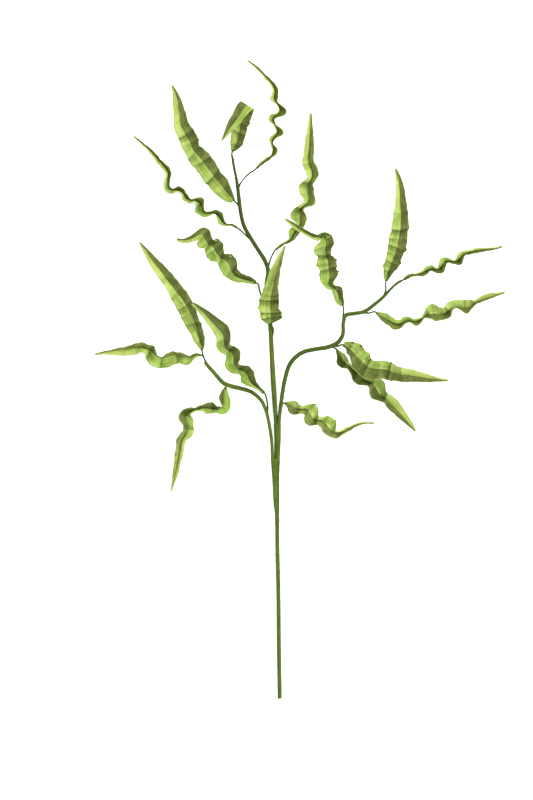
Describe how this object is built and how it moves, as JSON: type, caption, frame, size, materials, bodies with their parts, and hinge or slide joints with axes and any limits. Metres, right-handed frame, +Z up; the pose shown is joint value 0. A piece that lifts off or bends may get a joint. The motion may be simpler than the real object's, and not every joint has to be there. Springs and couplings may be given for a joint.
{
  "type": "fern frond",
  "caption": "Artificial fern-like spray lying flat: a taped wire stem parts into branches that carry long folded, crimped fabric leaves.",
  "frame": {"origin": "middle of the underside of the box round the frond, on the surface that it lies on", "axes": "+Y from the cut end of the stem to the tip, +X to the right seen from above, +Z up from the surface"},
  "size_m": [0.4932, 0.7666, 0.0694],
  "materials": {
    "stem_tape": "matt waxed paper tape over wire",
    "leaf_fabric": "dyed woven fabric, two shades of green either side of the crease"
  },
  "bodies": {
    "root": {"main_stem": "stem_tape", "left_branch": "stem_tape", "right_branch": "stem_tape", "leaf_centre_1": "leaf_fabric", "leaf_centre_2": "leaf_fabric", "leaf_centre_3": "leaf_fabric", "leaf_centre_4": "leaf_fabric", "leaf_centre_5": "leaf_fabric", "leaf_centre_6": "leaf_fabric", "leaf_centre_7": "leaf_fabric", "leaf_left_1": "leaf_fabric", "leaf_left_2": "leaf_fabric", "leaf_left_3": "leaf_fabric", "leaf_left_4": "leaf_fabric", "leaf_right_1": "leaf_fabric", "leaf_right_2": "leaf_fabric", "leaf_right_3": "leaf_fabric", "leaf_right_4": "leaf_fabric", "leaf_right_5": "leaf_fabric", "leaf_right_6": "leaf_fabric", "leaf_right_7": "leaf_fabric"}
  },
  "joints": []
}
